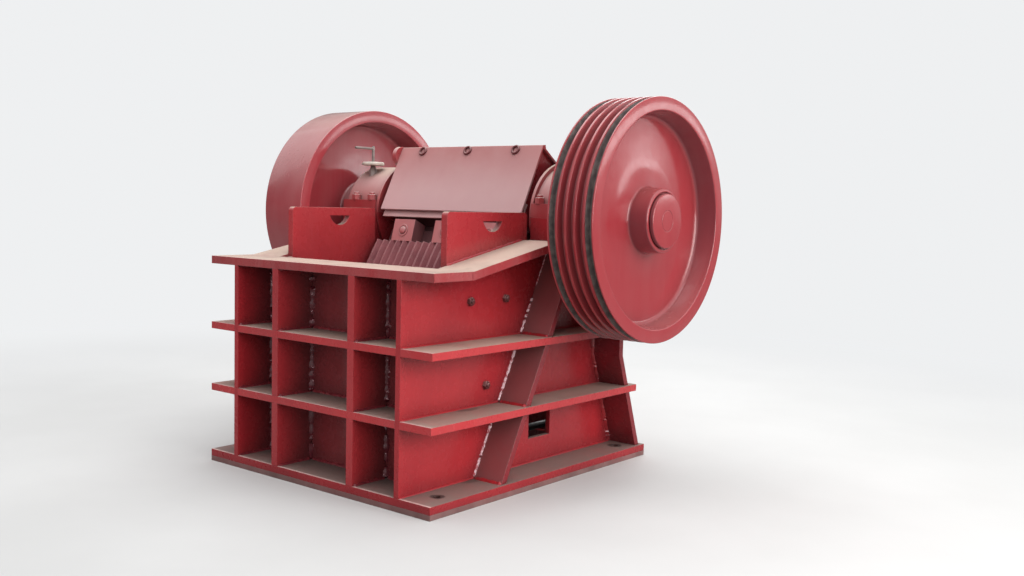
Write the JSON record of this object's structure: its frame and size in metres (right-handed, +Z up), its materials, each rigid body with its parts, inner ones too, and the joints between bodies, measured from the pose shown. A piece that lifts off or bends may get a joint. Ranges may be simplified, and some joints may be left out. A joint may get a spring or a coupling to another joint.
{
  "type": "single toggle jaw crusher",
  "caption": "Single toggle jaw crusher: welded box frame with ribs, toothed swing jaw under a sheet hood, eccentric shaft with flywheel and grooved pulley.",
  "frame": {"origin": "on the floor, at the middle of the four base bolts", "axes": "+X across the machine towards the grooved pulley, -Y to the feed front with its ribs, +Z up"},
  "size_m": [1.676, 1.371, 1.354],
  "materials": {
    "red_paint": "gloss paint, dusty on top faces",
    "jaw_steel": "rough cast, painted over and dusty",
    "machined_steel": "machined and oiled",
    "spring_steel": "dull dark coating"
  },
  "bodies": {
    "frame": {"sole_plate": "red_paint", "base_flange": "red_paint", "side_plate_left": "red_paint", "side_plate_right": "red_paint", "front_wall": "red_paint", "front_ribs": "red_paint", "lower_flange": "red_paint", "upper_flange": "red_paint", "feed_flange": "red_paint", "bearing_seat_left": "red_paint", "bearing_seat_right": "red_paint", "front_stiffeners": "red_paint", "rear_stiffeners": "red_paint", "rear_wall": "red_paint", "toggle_beam": "red_paint", "spring_bracket": "red_paint", "bearing_base_left": "red_paint", "bearing_base_right": "red_paint", "bearing_cap_left": "red_paint", "bearing_cap_right": "red_paint", "bearing_cover_left": "red_paint", "bearing_cover_right": "red_paint", "toggle_seat_rear": "machined_steel", "adjusting_shims": "machined_steel", "toggle_plate": "machined_steel", "tension_rods": "machined_steel", "spring_left": "spring_steel", "spring_right": "spring_steel", "fixed_jaw_plate": "jaw_steel", "cheek_plate_left": "jaw_steel", "cheek_plate_right": "jaw_steel"},
    "rotor": {"flywheel": "red_paint", "grooved_pulley": "red_paint", "shaft_cap_left": "red_paint", "shaft_cap_right": "red_paint", "eccentric_shaft": "machined_steel"},
    "pitman": {"swing_jaw": "red_paint", "swing_jaw_ribs": "red_paint", "jaw_wedges": "red_paint", "guard_bar": "red_paint", "hood": "red_paint", "hood_ends": "red_paint", "lifting_rings": "red_paint", "swing_jaw_plate": "jaw_steel", "toggle_seat_front": "machined_steel"}
  },
  "joints": [
    {"name": "shaft_rotation", "type": "hinge", "parent": "frame", "child": "rotor", "pos_m": [0, 0.261, 0.927], "axis": [1, 0, 0], "continuous": true},
    {"name": "pitman_pivot", "type": "hinge", "parent": "rotor", "child": "pitman", "pos_m": [0, 0.271, 0.927], "axis": [1, 0, 0], "continuous": true}
  ],
  "couplings": [
    {"joint": "pitman_pivot", "follows": "shaft_rotation", "ratio": -1}
  ]
}
